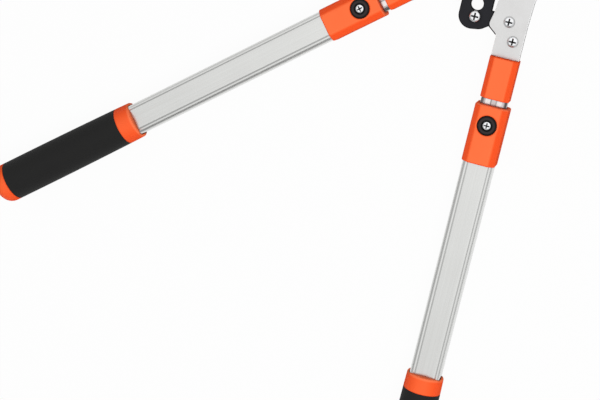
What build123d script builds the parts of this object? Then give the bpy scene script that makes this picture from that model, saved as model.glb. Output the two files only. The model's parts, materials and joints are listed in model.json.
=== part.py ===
from build123d import *
import math
import os

# Telescoping anvil lopper, lying flat. Millimetres.
# The main pivot is the Z axis, +Y runs from the pivot along the anvil side, and Z = 0 is the
# surface the tool rests on. The left handle runs back along -Y. The right handle is drawn in the
# same way and then swung out by HANDLE_ANGLE.

# ---- Layout of the head and handles ----
HANDLE_ANGLE = 50.6          # right handle, swung out from the left one at rest
CLOSE_TRAVEL = 34.0          # handle and blade travel from rest to blade on anvil
ANVIL_ANGLE = 99.6           # direction of the anvil from +X
LEFT_OFFSET = 20.0           # left handle axis, to the -X side of the pivot
LEFT_REACH = 130.9           # pivot to the head end of the left upper collar
RIGHT_OFFSET = 18.9          # right handle axis, to its -X side of the pivot before the swing
RIGHT_REACH = 122.4          # pivot to the head end of the right upper collar
SLIDE_TRAVEL = 330.0         # telescoping travel of each handle

# ---- Fits ----
RUN = 0.06                   # radial clearance of a turning joint
SLIDE_GAP = 0.3              # gap round a sliding fit
FACE_GAP = 0.2               # gap between plates that turn past each other

# ---- Inner tube (fixed to the head) ----
INNER_W = 26.0
INNER_H = 17.0
INNER_R = 5.0
INNER_WALL = 1.3
FLUTE_W = 5.8
FLUTE_DEPTH = 1.1
TUBE_INSET = 8.0             # tube end, inside the upper collar
END_ROOM = 11.0              # inner tube's hidden end to the end cap, closed up
INDEX_PITCH = 66.0           # spacing of the lock holes along the tube
INDEX_ROOM = 0.5             # lock hole round the pin

# ---- Upper collar ----
UPPER_LENGTH = 40.2
UPPER_WALL = 1.15            # collar beside the inner tube
UPPER_H = 26.0
UPPER_FACET = 5.1
COLLAR_GAP = 6.2             # inner tube showing between the collars

# ---- Lower collar (travels with the outer tube) ----
LOWER_LENGTH = 57.5
LOWER_WALL = 1.25            # collar beside the outer tube
LOWER_H = 34.0
LOWER_FACET = 6.1
SEAT_DEPTH = 23.0            # outer tube seated in the collar
COLLAR_EDGE = 1.6            # rounding of the collar ends
UPPER_CORNER = 2.2           # rounding of the long corners
LOWER_CORNER = 4.0

# ---- Lock button ----
BUTTON_PLACE = 18.7          # button axis from the collar's head end
BUTTON_D = 18.7
BUTTON_PROUD = 1.0
BUTTON_TRAVEL = 3.0
BUTTON_STOP_GAP = 0.5        # cap above the well floor when pressed right in
BUTTON_GAP = 0.35
RECESS_D = 10.8
BUTTON_SCREW_D = 8.4
BUTTON_EDGE_R = 1.2          # rounding of the cap
RECESS_DEPTH = 1.5
PIN_D = 5.0
PIN_TIP_GAP = 0.3            # pin tip above the flute floor at rest
BUTTON_SHANK_D = 3.0         # screw from the cap down into the pin
BUTTON_SHANK_DEPTH = 3.0     # below the cap
SPRING_WIRE = 0.7
SPRING_D = 9.0
SPRING_TURNS = 3
SPRING_SEAT = 1.4            # counterbore for the spring under the cap
SHELF = 1.5                  # collar floor under the button well

# ---- Outer tube ----
OUTER_SIDE_ROOM = 0.75       # inside the outer tube, beside the inner one
OUTER_FLAT_ROOM = 1.5        # inside the outer tube, over the inner one
OUTER_R = 4.4
OUTER_WALL = 1.5
OUTER_SHOWN = 219.2          # length between collar and grip ring
REED_INSET = 4.85            # shallow V reeds, in from both sides of the flat
REED_W = 3.0
REED_DEPTH = 0.5

# ---- Grip, ring and cap ----
RING_LENGTH = 17.0
RING_WALL = 3.25             # ring beside the tube, at its front edge
RING_EDGE_R = 2.0            # rounding of the ring's front edge
RING_RELIEF = 0.7            # clearance beside the tube at the ring's mouth
RING_RELIEF_DEPTH = 4.0
GRIP_LENGTH = 135.4
GRIP_WALL = 3.65             # grip beside the tube, next to the ring
GRIP_SWELL = 2.0             # grip's end thicker than its start
GRIP_CROWN = 0.3             # swell of the grip beyond a straight taper
CAP_LENGTH = 17.0
CAP_EDGE_R = 12.0
CAP_SEAT = 6.0               # outer tube seated in the cap
RIM_R = 1.0                  # small rounding of ring and grip rims

# ---- Guide bush on the hidden end of the inner tube ----
BUSH_LENGTH = 12.0
BUSH_GAP = 0.2

# ---- Head plates ----
PLATE_T = 2.5
RATCHET_T = 5.0              # notched plate, between the right-hand side plates
TANG_W = 20.0                # plate tongues inside the collars
TANG_LENGTH = 30.0
NECK_LENGTH = 14.0           # straight part of the left plates above the collar
LAP = 1.0                    # overlap of the shapes that make one outline
BLADE_T = RATCHET_T - 2 * FACE_GAP
BOLT_D = 10.0
LEFT_LOBE_R = 19.0
RIGHT_LOBE_R = 18.0
BLADE_HUB_R = 15.0
PLATE_BREAK = 0.4            # softened edges of the right side plates
NECK_RISE = 20.4             # right plates step out to the lug, above the collar
LUG_EDGE = 23.0              # corner of the lug from the right handle axis
LUG_EDGE_RISE = 27.4
LUG_CORNER = 5.5
NECK_CORNER = 4.0
WAIST_EDGE = 20.3            # inner edge level with the top of the notched plate's foot
HEAD_EDGE = 18.8             # inner edge where the plate turns in towards the pivot
HEAD_RISE = 58.0
LUG_SHIFT = -4.5             # lug screw from the right handle axis
LUG_RISE = 34.2              # lug screw above the right upper collar
STRAP_SHIFT = 3.2
STRAP_RISE = 16.9
HEAD_H = 3.1                 # pan head height
HEAD_D = 10.4
CROSS_REACH = 0.36           # arms of the cross recess, as shares of the head
CROSS_W = 0.15
CROSS_FLOOR = 0.25           # floor of the recess, as a share of the head height
SCREW_D = 5.0
NUT_T = 3.0
NUT_AF = 9.0
RIGHT_EDGE = 13.3            # outer edge of the right side plates from the handle axis
INNER_EDGE = 13.8            # inner edge of the right side plates from the handle axis

# ---- Notched plate ----
NOTCH_OUT = 33.9             # lowest notch from the lug screw
NOTCH_RISE = 9.5
NOTCH_R = 6.0
NOTCH_PITCH = 9.5
NOTCH_COUNT = 5
NOTCH_SCREW_DROP = 12.1      # third screw, below the lowest notch
NOTCH_SCREW_D = 11.0
NOTCH_SCREW_SHIFT = 0.7
RATCHET_RIM = 15.4           # outer edge from the line of notches
RATCHET_INSET = 1.0          # plate behind the outer edge of the side plates
RATCHET_LIP = 1.5            # plate showing beyond the side plates' lug
RATCHET_FOOT = 16.8          # level of the plate's outer corner, from the collar
RATCHET_FOOT_BEND = 24.0     # foot edge bends up, from the outer edge
RATCHET_FOOT_RISE = 20.6
RATCHET_STEP = 40.6          # top of the foot, from the collar
RATCHET_BACK = 23.2          # edge behind the notches, from the right handle axis
RATCHET_EDGE_R = 0.9         # rounded edges all round
RATCHET_CUSP_R = 0.8         # rounded points between the notches
RATCHET_TOP = 13.5           # plate beyond the top notch
RATCHET_CORNER = 13.0

# ---- Pawl ----
PAWL_HINGE = (-42.2, -12.6)
PAWL_LINK_R = 7.0
PAWL_LINK_T = 2.1
PAWL_PIN_D = 6.0
ROLLER_D = 7.0

# ---- Blade and anvil, along and across the anvil line ----
BLADE_LENGTH = 88.0
BLADE_DEPTH = 27.0
BLADE_TIP = 9.0
BLADE_NOSE = 2.0             # rounding of the tip
BLADE_HEEL = 16.0
BEVEL = 9.0
EDGE_T = 0.5
ANVIL_DROP = 3.0             # anvil surface below the pivot axis
BITE_GAP = 0.3               # blade edge above the anvil when closed
ANVIL_START = 24.0
ANVIL_END = 94.0
ANVIL_T = 5.5
ANVIL_W = 13.0
JAW_DEPTH = 19.0
RIVET_D = 5.0
RIVET_HEAD_D = 8.5
RIVET_HEAD_H = 1.2
RIVET_HEEL = 12.0            # rivets from the ends of the anvil
RIVET_TIP = 14.0
RIVET_DROP = 6.0             # rivets below the anvil insert
JAW_LIP = 2.0                # jaw plates beyond the anvil's tip
JAW_TOE = 8.0

# ---- Pivot hardware ----
BOLT_AF = 16.0
BOLT_HEAD_H = 5.5
WASHER_D = 22.0
WASHER_T = 1.5
NUT_H = 6.5
SPACER_D = 21.0

# ---- Worked-out widths, levels, places and lengths ----
OUTER_W = INNER_W + 2 * (OUTER_SIDE_ROOM + OUTER_WALL)
OUTER_H = INNER_H + 2 * (OUTER_FLAT_ROOM + OUTER_WALL)
REED_PLACE = OUTER_W / 2 - REED_INSET
UPPER_W = INNER_W + 2 * UPPER_WALL
LOWER_W = OUTER_W + 2 * LOWER_WALL
RING_D = OUTER_W + 2 * RING_WALL
GRIP_D = OUTER_W + 2 * GRIP_WALL
GRIP_END_D = GRIP_D + GRIP_SWELL
LUG_SCREW = (LUG_SHIFT - RIGHT_OFFSET, LUG_RISE - RIGHT_REACH)
STRAP_SCREW = (STRAP_SHIFT - RIGHT_OFFSET, STRAP_RISE - RIGHT_REACH)
NOTCH_X = LUG_SCREW[0] - NOTCH_OUT
NOTCH_Y = LUG_SCREW[1] + NOTCH_RISE
RATCHET_EDGE_X = NOTCH_X - RATCHET_RIM
AXIS_Z = GRIP_END_D / 2                                  # handles' plane above the surface
RATCHET_TOP_Z = RATCHET_T / 2
RIGHT_PLATE_Z = RATCHET_TOP_Z                            # inner face of the right side plates
LEFT_PLATE_Z = RIGHT_PLATE_Z + PLATE_T + HEAD_H + 0.4    # inner face of the left side plates
LEFT_PLATE_TOP = LEFT_PLATE_Z + PLATE_T
UPPER_END = UPPER_LENGTH
LOWER_START = UPPER_END + COLLAR_GAP
LOWER_END = LOWER_START + LOWER_LENGTH
OUTER_START = LOWER_END - SEAT_DEPTH
RING_START = LOWER_END + OUTER_SHOWN
GRIP_START = RING_START + RING_LENGTH
CAP_START = GRIP_START + GRIP_LENGTH
CAP_END = CAP_START + CAP_LENGTH
OUTER_END = CAP_START + CAP_SEAT
INNER_END = CAP_START - END_ROOM
BUTTON_S = LOWER_START + BUTTON_PLACE
FLUTE_FLOOR = INNER_H / 2 - FLUTE_DEPTH
PIN_TIP = FLUTE_FLOOR + PIN_TIP_GAP
COLLAR_FRONT = LOWER_H / 2
BUTTON_TOP = COLLAR_FRONT + BUTTON_PROUD
WELL_FLOOR = INNER_H / 2 + SLIDE_GAP + SHELF
BUTTON_BASE = WELL_FLOOR + BUTTON_STOP_GAP + BUTTON_TRAVEL
NOTCH_TOP_Y = NOTCH_Y + (NOTCH_COUNT - 1) * NOTCH_PITCH


# ---------------------------------------------------------------- helpers
def bar(section, start, end):
    """Extrude a section along the handle, from one distance below the collar end to another."""
    return Pos(0, -start, 0) * extrude(Plane.XZ * section, end - start)


def octagon(width, height, facet, corner):
    """Octagonal section with softened corners."""
    half_w = width / 2
    half_h = height / 2
    points = [
        (half_w, half_h - facet), (half_w - facet, half_h),
        (facet - half_w, half_h), (-half_w, half_h - facet),
        (-half_w, facet - half_h), (facet - half_w, -half_h),
        (half_w - facet, -half_h), (half_w, facet - half_h),
    ]
    section = make_face(Polyline(*points, close=True))
    return fillet(section.vertices(), corner)


def plate(section, low, high):
    """Flat plate between two heights about the handles' plane."""
    return Pos(0, 0, low) * extrude(section, high - low)


def disc(place, radius):
    return Pos(*place) * Circle(radius)


def shape_of(*points):
    return make_face(Polyline(*points, close=True))


def post(place, radius, low, high):
    return plate(disc(place, radius), low, high)


def tangent_strip(a, radius_a, b, radius_b):
    """Flat strip with round ends whose sides touch both end circles."""
    span = math.dist(a, b)
    lean = math.asin((radius_a - radius_b) / span)
    line = math.atan2(b[1] - a[1], b[0] - a[0])
    sides = []
    for turn in (math.pi / 2 - lean, lean - math.pi / 2):
        across = (math.cos(line + turn), math.sin(line + turn))
        near = (a[0] + radius_a * across[0], a[1] + radius_a * across[1])
        far = (b[0] + radius_b * across[0], b[1] + radius_b * across[1])
        sides.append((near, far))
    body = shape_of(sides[0][0], sides[0][1], sides[1][1], sides[1][0])
    return body + disc(a, radius_a) + disc(b, radius_b)


def on_left(piece):
    return Pos(-LEFT_OFFSET, -LEFT_REACH, AXIS_Z) * piece


def on_right(piece):
    return Rot(0, 0, HANDLE_ANGLE) * Pos(-RIGHT_OFFSET, -RIGHT_REACH, AXIS_Z) * piece


def head_left(piece):
    return Pos(0, 0, AXIS_Z) * piece


def head_right(piece):
    return Pos(0, 0, AXIS_Z) * Rot(0, 0, HANDLE_ANGLE) * piece


def along_anvil(piece):
    """From the anvil's own axes (along, away from the anvil) to the tool's."""
    return Rot(0, 0, ANVIL_ANGLE) * piece


# ---------------------------------------------------------------- tube sections
def inner_outline(grow=0.0):
    return RectangleRounded(INNER_W + 2 * grow, INNER_H + 2 * grow, INNER_R + grow)


def outer_outline(grow=0.0):
    return RectangleRounded(OUTER_W + 2 * grow, OUTER_H + 2 * grow, OUTER_R + grow)


def flutes(width, height, depth):
    """Flat-bottomed groove along the middle of both flats of a tube section."""
    return [Pos(0, side * height / 2) * Rectangle(width, 2 * depth) for side in (1, -1)]


def reeds(width, height, depth, place):
    """V grooves along both flats of a tube section, at both sides."""
    cuts = []
    for across in (place, -place):
        for face in (height / 2, -height / 2):
            floor = face - math.copysign(depth, face)
            above = face + math.copysign(depth, face)
            cuts.append(shape_of((across - width / 2, face), (across, floor), (across + width / 2, face),
                                 (across + width / 2, above), (across - width / 2, above)))
    return cuts


# ---------------------------------------------------------------- handle pieces
def inner_tube():
    section = inner_outline() - inner_outline(-INNER_WALL - FLUTE_DEPTH * 0.4)
    section -= flutes(FLUTE_W, INNER_H, FLUTE_DEPTH)
    tube = bar(section, TUBE_INSET, INNER_END)
    stops = round(SLIDE_TRAVEL / INDEX_PITCH)
    for step in range(stops + 1):
        place = BUTTON_S + step * SLIDE_TRAVEL / stops
        if place < INNER_END - BUSH_LENGTH - PIN_D:
            tube -= Pos(0, -place, 0) * post((0, 0), PIN_D / 2 + INDEX_ROOM, 0, INNER_H / 2 + 1)
    return tube


def upper_collar(tongues):
    block = bar(octagon(UPPER_W, UPPER_H, UPPER_FACET, UPPER_CORNER), 0, UPPER_LENGTH)
    rims = block.faces().sort_by(Axis.Y)
    block = fillet(rims[0].outer_wire().edges() + rims[-1].outer_wire().edges(), COLLAR_EDGE / 2)
    block -= bar(inner_outline(), TUBE_INSET, UPPER_LENGTH)
    for tongue in tongues:
        block -= tongue
    return block


def guide_bush():
    bore = OUTER_W / 2 - OUTER_WALL - BUSH_GAP
    wide = 2 * bore
    high = OUTER_H - 2 * OUTER_WALL - 2 * BUSH_GAP
    section = RectangleRounded(wide, high, OUTER_R - OUTER_WALL) - inner_outline()
    return bar(section, INNER_END - BUSH_LENGTH, INNER_END)


def outer_tube():
    return bar(reeded_outline() - outer_outline(-OUTER_WALL), OUTER_START, OUTER_END)


def reeded_outline():
    return outer_outline() - reeds(REED_W, OUTER_H, REED_DEPTH, REED_PLACE)


def lower_collar():
    section = octagon(LOWER_W, LOWER_H, LOWER_FACET, LOWER_CORNER)
    block = bar(section, LOWER_START, LOWER_END)
    rims = block.faces().sort_by(Axis.Y)
    block = fillet(rims[0].outer_wire().edges() + rims[-1].outer_wire().edges(), COLLAR_EDGE)
    block -= bar(inner_outline(SLIDE_GAP), LOWER_START, OUTER_START)
    block -= bar(reeded_outline(), OUTER_START, LOWER_END)
    well = post((0, 0), BUTTON_D / 2 + BUTTON_GAP, WELL_FLOOR, COLLAR_FRONT + 1)
    hole = post((0, 0), PIN_D / 2 + RUN, 0, WELL_FLOOR)
    return block - Pos(0, -BUTTON_S, 0) * (well + hole)


def button_cap():
    cap = post((0, 0), BUTTON_D / 2, BUTTON_BASE, BUTTON_TOP)
    cap = fillet(cap.faces().sort_by(Axis.Z)[-1].edges(), BUTTON_EDGE_R)
    cap -= post((0, 0), RECESS_D / 2, BUTTON_TOP - RECESS_DEPTH, BUTTON_TOP)
    cap -= post((0, 0), SPRING_D / 2 + BUTTON_GAP, BUTTON_BASE, BUTTON_BASE + SPRING_SEAT)
    cap -= post((0, 0), BUTTON_SHANK_D / 2, BUTTON_BASE, BUTTON_TOP)
    return Pos(0, -BUTTON_S, 0) * cap


def plunger_pin():
    shoulder = BUTTON_BASE + SPRING_SEAT
    pin = post((0, 0), PIN_D / 2, PIN_TIP, shoulder)
    pin = chamfer(pin.faces().sort_by(Axis.Z)[0].edges(), 0.5)
    pin -= post((0, 0), BUTTON_SHANK_D / 2, BUTTON_BASE - BUTTON_SHANK_DEPTH, shoulder)
    return Pos(0, -BUTTON_S, 0) * pin


def pan_head(diameter, height):
    """Domed pan head with a tapered cross recess, standing on height 0."""
    head = post((0, 0), diameter / 2, 0, height)
    head = fillet(head.faces().sort_by(Axis.Z)[-1].edges(), height * 0.7)
    reach = diameter * CROSS_REACH
    mouth = diameter * CROSS_W / 2
    arm = Plane.XZ * shape_of((-reach, height), (reach, height), (mouth, height * CROSS_FLOOR),
                              (-mouth, height * CROSS_FLOOR))
    arm = extrude(arm, mouth, both=True)
    return head - arm - Rot(0, 0, 90) * arm


def button_screw():
    seat = BUTTON_TOP - RECESS_DEPTH
    screw = Pos(0, 0, seat) * pan_head(BUTTON_SCREW_D, RECESS_DEPTH + 0.6)
    screw += post((0, 0), BUTTON_SHANK_D / 2, BUTTON_BASE - BUTTON_SHANK_DEPTH, seat)
    return Pos(0, -BUTTON_S, 0) * screw


def button_spring():
    low = WELL_FLOOR + SPRING_WIRE / 2
    height = BUTTON_BASE + SPRING_SEAT - SPRING_WIRE / 2 - low
    path = Helix(height / SPRING_TURNS, height, SPRING_D / 2 - SPRING_WIRE / 2)
    wire = sweep(Plane(path @ 0, z_dir=path % 0) * Circle(SPRING_WIRE / 2), path=path)
    return Pos(0, -BUTTON_S, low) * wire


def cone(start, end, start_d, end_d):
    """Round taper along the handle."""
    profile = shape_of((0, -start), (start_d / 2, -start), (end_d / 2, -end), (0, -end))
    return revolve(profile, Axis.Y)


def grip_ring():
    ring = cone(RING_START, GRIP_START, RING_D, GRIP_D)
    ends = ring.faces().sort_by(Axis.Y)
    ring = fillet(ends[-1].edges(), RING_EDGE_R)
    ring = fillet(ring.faces().sort_by(Axis.Y)[0].edges(), RIM_R * 0.5)
    mouth = RectangleRounded(OUTER_W + 2 * RING_RELIEF, OUTER_H - 2 * REED_DEPTH, OUTER_R)
    ring -= bar(mouth, RING_START, RING_START + RING_RELIEF_DEPTH)
    return ring - bar(reeded_outline(), RING_START, GRIP_START)


def grip_sleeve():
    middle = ((GRIP_D + GRIP_END_D) / 4 + GRIP_CROWN, -(GRIP_START + CAP_START) / 2)
    outline = [
        Line((0, -GRIP_START), (GRIP_D / 2, -GRIP_START)),
        ThreePointArc((GRIP_D / 2, -GRIP_START), middle, (GRIP_END_D / 2, -CAP_START)),
        Line((GRIP_END_D / 2, -CAP_START), (0, -CAP_START)),
        Line((0, -CAP_START), (0, -GRIP_START)),
    ]
    half_section = make_face(Curve() + outline)
    rims = half_section.vertices().sort_by(Axis.X)[-2:]
    sleeve = revolve(fillet(rims, RIM_R * 0.7), Axis.Y)
    return sleeve - bar(reeded_outline(), GRIP_START, CAP_START)


def end_cap():
    radius = GRIP_END_D / 2
    flat = radius - CAP_EDGE_R
    shoulder = CAP_END - CAP_EDGE_R
    middle = CAP_EDGE_R * math.sqrt(0.5)
    outline = [
        Line((0, -CAP_START), (radius, -CAP_START)),
        Line((radius, -CAP_START), (radius, -shoulder)),
        ThreePointArc((radius, -shoulder), (flat + middle, -shoulder - middle), (flat, -CAP_END)),
        Line((flat, -CAP_END), (0, -CAP_END)),
        Line((0, -CAP_END), (0, -CAP_START)),
    ]
    dome = revolve(make_face(Curve() + outline), Axis.Y)
    return dome - bar(reeded_outline(), CAP_START, OUTER_END)


# ---------------------------------------------------------------- plate tongues and their packing
def left_tongues():
    """Tongues of the left side plates, on the flats of the tube."""
    section = Rectangle(TANG_W, PLATE_T)
    height = LEFT_PLATE_Z + PLATE_T / 2
    return [bar(Pos(0, side * height) * section, 0, TANG_LENGTH) for side in (1, -1)]


def right_tongues():
    """Tongues of the right side plates, inside the tube."""
    section = Rectangle(TANG_W, PLATE_T)
    height = RIGHT_PLATE_Z + PLATE_T / 2
    return [bar(Pos(0, side * height) * section, 0, TANG_LENGTH) for side in (1, -1)]


def left_tang_block():
    return bar(inner_outline(-INNER_WALL - FLUTE_DEPTH * 0.4), TUBE_INSET, TANG_LENGTH)


def right_tang_block():
    block = left_tang_block()
    for tongue in right_tongues():
        block -= tongue
    return block


# ---------------------------------------------------------------- head, left side
def left_plate(side):
    lobe = disc((0, 0), LEFT_LOBE_R)
    tang_x = -LEFT_OFFSET
    half = TANG_W / 2
    neck_y = NECK_LENGTH - LEFT_REACH
    foot_y = -LEFT_REACH - TANG_LENGTH
    tongue = shape_of(
        (tang_x - half, foot_y), (tang_x + half, foot_y), (tang_x + half, neck_y), (tang_x - half, neck_y))
    arm = shape_of(
        (tang_x - half, neck_y - LAP), (tang_x + half, neck_y - LAP),
        (LEFT_LOBE_R * 0.98, -LEFT_LOBE_R * 0.2), (-LEFT_LOBE_R * 0.99, LEFT_LOBE_R * 0.12))
    top = -ANVIL_DROP - ANVIL_T * 0.6
    deep = -ANVIL_DROP - ANVIL_T - JAW_DEPTH
    jaw = shape_of(
        (0, top), (ANVIL_END + JAW_LIP, top), (ANVIL_END + JAW_LIP, top - JAW_TOE),
        (ANVIL_END - JAW_TOE, deep * 0.62), (ANVIL_START + RIVET_HEEL, deep),
        (LEFT_LOBE_R * 0.3, -LEFT_LOBE_R * 0.94))
    section = lobe + tongue + arm + along_anvil(jaw)
    section -= disc((0, 0), BOLT_D / 2)
    for place in rivet_places():
        section -= along_anvil(disc(place, RIVET_D / 2))
    low = LEFT_PLATE_Z if side > 0 else -LEFT_PLATE_TOP
    return plate(section, low, low + PLATE_T)


def rivet_places():
    drop = -ANVIL_DROP - ANVIL_T - RIVET_DROP
    return [(ANVIL_START + RIVET_HEEL, drop), (ANVIL_END - RIVET_TIP, drop)]


def anvil_holder():
    top = -ANVIL_DROP - ANVIL_T
    block = shape_of(
        (ANVIL_START, top), (ANVIL_END, top), (ANVIL_END - JAW_TOE, top - JAW_DEPTH * 0.55),
        (ANVIL_START + JAW_TOE, top - JAW_DEPTH * 0.75), (ANVIL_START, top - JAW_TOE))
    for place in rivet_places():
        block -= disc(place, RIVET_D / 2)
    return along_anvil(plate(block, -LEFT_PLATE_Z, LEFT_PLATE_Z))


def anvil_insert():
    low = -ANVIL_DROP - ANVIL_T
    block = shape_of((ANVIL_START, low), (ANVIL_END, low), (ANVIL_END, low + ANVIL_T),
                     (ANVIL_START, low + ANVIL_T))
    insert = plate(block, -ANVIL_W / 2, ANVIL_W / 2)
    edges = insert.faces().sort_by(Axis.Y)[-1].edges().filter_by(Axis.X)
    return along_anvil(chamfer(edges, 1.0))


def anvil_rivet(place):
    rivet = post(place, RIVET_D / 2, -LEFT_PLATE_TOP, LEFT_PLATE_TOP)
    rivet += post(place, RIVET_HEAD_D / 2, LEFT_PLATE_TOP, LEFT_PLATE_TOP + RIVET_HEAD_H)
    rivet += post(place, RIVET_HEAD_D / 2, -LEFT_PLATE_TOP - RIVET_HEAD_H, -LEFT_PLATE_TOP)
    return along_anvil(rivet)


def pivot_bolt():
    shank = post((0, 0), BOLT_D / 2, -AXIS_Z, LEFT_PLATE_TOP)
    head = plate(RegularPolygon(BOLT_AF / 2, 6, major_radius=False),
                 LEFT_PLATE_TOP, LEFT_PLATE_TOP + BOLT_HEAD_H)
    crown = Pos(0, 0, LEFT_PLATE_TOP) * Cone(
        BOLT_AF * 0.8, BOLT_AF * 0.5, BOLT_HEAD_H + 1.5,
        align=(Align.CENTER, Align.CENTER, Align.MIN))
    return shank + (head & crown)


def pivot_washer():
    ring = Circle(WASHER_D / 2) - Circle(BOLT_D / 2)
    return plate(ring, -LEFT_PLATE_TOP - WASHER_T, -LEFT_PLATE_TOP)


def pivot_nut():
    top = -LEFT_PLATE_TOP - WASHER_T
    ring = RegularPolygon(BOLT_AF / 2, 6, major_radius=False) - Circle(BOLT_D / 2)
    return plate(ring, max(top - NUT_H, -AXIS_Z + 0.6), top)


def pivot_spacer(side):
    inside = RIGHT_PLATE_Z + PLATE_T + RUN
    ring = Circle(SPACER_D / 2) - Circle(BOLT_D / 2)
    low = inside if side > 0 else -LEFT_PLATE_Z
    return plate(ring, low, low + LEFT_PLATE_Z - inside)


# ---------------------------------------------------------------- head, right side
def from_collar(*points):
    """Points given from the right handle's axis and its collar, turned into the pivot's own."""
    return [(x - RIGHT_OFFSET, y - RIGHT_REACH) for x, y in points]


def rounded_at(shape, place, radius):
    """Round the outline's corner nearest to a place."""
    return fillet(shape.vertices().sort_by_distance((place[0], place[1], 0))[0], radius)


def right_plate(side):
    half = TANG_W / 2
    tongue = shape_of(*from_collar((-half, -TANG_LENGTH), (half, -TANG_LENGTH), (half, LAP), (-half, LAP)))
    lug_corner, neck_corner = from_collar((-LUG_EDGE, LUG_EDGE_RISE), (-INNER_EDGE, NECK_RISE))
    edge = from_collar(
        (-INNER_EDGE, 0), (RIGHT_EDGE, 0), (RIGHT_EDGE, LUG_RISE), (RIGHT_EDGE + LAP, HEAD_RISE))
    back = from_collar((-HEAD_EDGE, HEAD_RISE), (-WAIST_EDGE, RATCHET_STEP))
    lobe_sides = [(RIGHT_LOBE_R * 0.96, -RIGHT_LOBE_R * 0.28), (-RIGHT_LOBE_R * 0.96, -RIGHT_LOBE_R * 0.28)]
    arm = shape_of(*edge, *lobe_sides, *back, lug_corner, neck_corner)
    arm = rounded_at(arm, lug_corner, LUG_CORNER)
    arm = rounded_at(arm, neck_corner, NECK_CORNER)
    section = disc((0, 0), RIGHT_LOBE_R) + arm + tongue
    section -= disc((0, 0), BOLT_D / 2 + RUN)
    section -= disc(LUG_SCREW, SCREW_D / 2)
    section -= disc(STRAP_SCREW, SCREW_D / 2)
    low = RIGHT_PLATE_Z if side > 0 else -RIGHT_PLATE_Z - PLATE_T
    solid = plate(section, low, low + PLATE_T)
    shown = solid.faces().sort_by(Axis.Z)[-1 if side > 0 else 0]
    return chamfer(shown.outer_wire().edges(), PLATE_BREAK)


def notch_places():
    return [(NOTCH_X, NOTCH_Y + step * NOTCH_PITCH) for step in range(NOTCH_COUNT)]


def notch_screw_place():
    return (NOTCH_X + NOTCH_SCREW_SHIFT, NOTCH_Y - NOTCH_SCREW_DROP)


def ratchet_plate():
    edge_x = RATCHET_EDGE_X + RIGHT_OFFSET
    top = NOTCH_TOP_Y + RATCHET_TOP + RIGHT_REACH
    shy = RIGHT_EDGE - RATCHET_INSET
    lug_slope = (LUG_EDGE_RISE - NECK_RISE) / (LUG_EDGE - INNER_EDGE)
    lip = RATCHET_LIP * math.hypot(1, lug_slope)
    base = STRAP_RISE - SCREW_D
    outline = from_collar(
        (edge_x, RATCHET_FOOT), (edge_x + RATCHET_FOOT_BEND, RATCHET_FOOT_RISE),
        (-LUG_EDGE, LUG_EDGE_RISE - lip), (-INNER_EDGE - LAP, NECK_RISE - lip + LAP * lug_slope),
        (-INNER_EDGE + LAP, NECK_RISE), (0, base), (shy, base),
        (shy, RATCHET_STEP), (-RATCHET_BACK, RATCHET_STEP), (-RATCHET_BACK, top), (edge_x, top))
    section = shape_of(*outline)
    for corner, radius in (
            (outline[0], RATCHET_CORNER), (outline[1], RATCHET_CORNER), (outline[10], RATCHET_CORNER),
            (outline[9], RATCHET_CORNER * 0.6)):
        section = rounded_at(section, corner, radius)
    track = Sketch() + [disc(place, NOTCH_R) for place in notch_places()]
    half_pitch = NOTCH_PITCH / 2
    throat = math.sqrt(NOTCH_R ** 2 - half_pitch ** 2)
    for _, low_y in notch_places()[:-1]:
        for side in (1, -1):
            track = rounded_at(track, (NOTCH_X + side * throat, low_y + half_pitch), RATCHET_CUSP_R)
    solid = plate(section - track, -RATCHET_TOP_Z, RATCHET_TOP_Z)
    faces = solid.faces().sort_by(Axis.Z)
    solid = fillet(faces[0].edges() + faces[-1].edges(), RATCHET_EDGE_R)
    for place in (LUG_SCREW, STRAP_SCREW, notch_screw_place()):
        solid -= post(place, SCREW_D / 2, -RATCHET_TOP_Z, RATCHET_TOP_Z)
    return solid


def screw_at(place, diameter, top):
    """Pan-head screw through the plates, its head standing on the given height."""
    head = Pos(place[0], place[1], top) * pan_head(diameter, HEAD_H)
    return head + post(place, SCREW_D / 2, -top - NUT_T, top)


def nut_at(place, top):
    ring = Pos(*place) * RegularPolygon(NUT_AF / 2, 6, major_radius=False) - disc(place, SCREW_D / 2)
    return plate(ring, -top - NUT_T, -top)


# ---------------------------------------------------------------- blade and pawl
def blade():
    """Blade with its tail. The cutting edge is drawn along the anvil line, then opened."""
    low = -ANVIL_DROP + BITE_GAP
    points = [(BLADE_HEEL, low), (BLADE_LENGTH, low), (BLADE_LENGTH + BLADE_NOSE, low + BLADE_TIP * 0.5),
              (BLADE_LENGTH - 2 * BLADE_NOSE, low + BLADE_TIP), (BLADE_LENGTH * 0.45, BLADE_DEPTH),
              (BLADE_HEEL, BLADE_DEPTH * 0.9), (0, BLADE_HUB_R * 0.9), (0, low)]
    body = plate(shape_of(*points), -BLADE_T / 2, BLADE_T / 2)
    for side in (1, -1):
        wedge = Plane.YZ * shape_of(
            (low, side * EDGE_T / 2), (low + BEVEL, side * BLADE_T / 2),
            (low - 1, side * (BLADE_T / 2 + 1)), (low - 1, side * EDGE_T / 2))
        body -= Pos(BLADE_HEEL + 2, 0, 0) * extrude(wedge, BLADE_LENGTH)
    opened = Rot(0, 0, ANVIL_ANGLE + CLOSE_TRAVEL - HANDLE_ANGLE) * body
    tail = tangent_strip((0, 0), BLADE_HUB_R, PAWL_HINGE, PAWL_LINK_R + 1)
    solid = opened + plate(tail, -BLADE_T / 2, BLADE_T / 2)
    solid -= post((0, 0), BOLT_D / 2 + RUN, -BLADE_T, BLADE_T)
    return solid - post(PAWL_HINGE, PAWL_PIN_D / 2 + RUN, -BLADE_T, BLADE_T)


def pawl_top():
    return (NOTCH_X, NOTCH_TOP_Y)


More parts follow.
